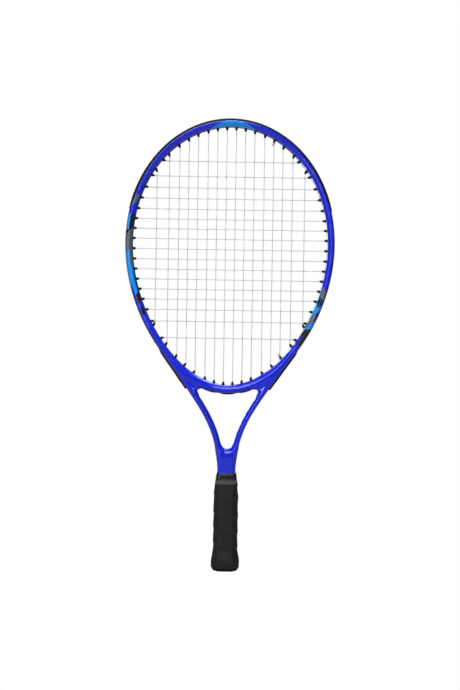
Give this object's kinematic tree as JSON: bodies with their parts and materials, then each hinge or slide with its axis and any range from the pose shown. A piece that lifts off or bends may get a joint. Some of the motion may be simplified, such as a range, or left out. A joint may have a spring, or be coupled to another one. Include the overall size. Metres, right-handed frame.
{
  "type": "tennis racket",
  "caption": "Junior tennis racket with an egg-shaped strung hoop, open throat, wrapped octagonal grip and a sliding rubber collar.",
  "frame": {"origin": "centre of the flat butt end", "axes": "+Z along the racket from the butt to the top of the hoop, +X to the right across the string bed, +Y through the string bed to the back"},
  "size_m": [0.2716, 0.033, 0.585],
  "materials": {
    "frame_lacquer": "glossy blue lacquer with grey, black and light blue blocks",
    "black_nylon": "semi-matte moulded nylon",
    "string": "translucent pale synthetic string",
    "handle_foam": "moulded rigid foam",
    "grip_tape": "matte cushioned synthetic grip",
    "finishing_tape": "thin satin vinyl tape",
    "collar_rubber": "glossy moulded rubber",
    "staple_steel": "bright wire"
  },
  "bodies": {
    "root": {"frame_tube": "frame_lacquer", "throat_bridge": "frame_lacquer", "bumper_guard": "black_nylon", "grommet_strip_left": "black_nylon", "grommet_strip_right": "black_nylon", "grommet_strip_bridge": "black_nylon", "main_string": "string", "cross_string": "string", "handle_pallet_front": "handle_foam", "handle_pallet_back": "handle_foam", "butt_cap": "black_nylon", "butt_cap_staple_front": "staple_steel", "butt_cap_staple_back": "staple_steel", "grip_wrap": "grip_tape", "grip_finishing_tape": "finishing_tape"},
    "collar": {"grip_collar": "collar_rubber"}
  },
  "joints": [
    {"name": "collar_slide", "type": "slide", "parent": "root", "child": "collar", "axis": [0, 0, 1], "range_m": [0, 0.006]}
  ]
}
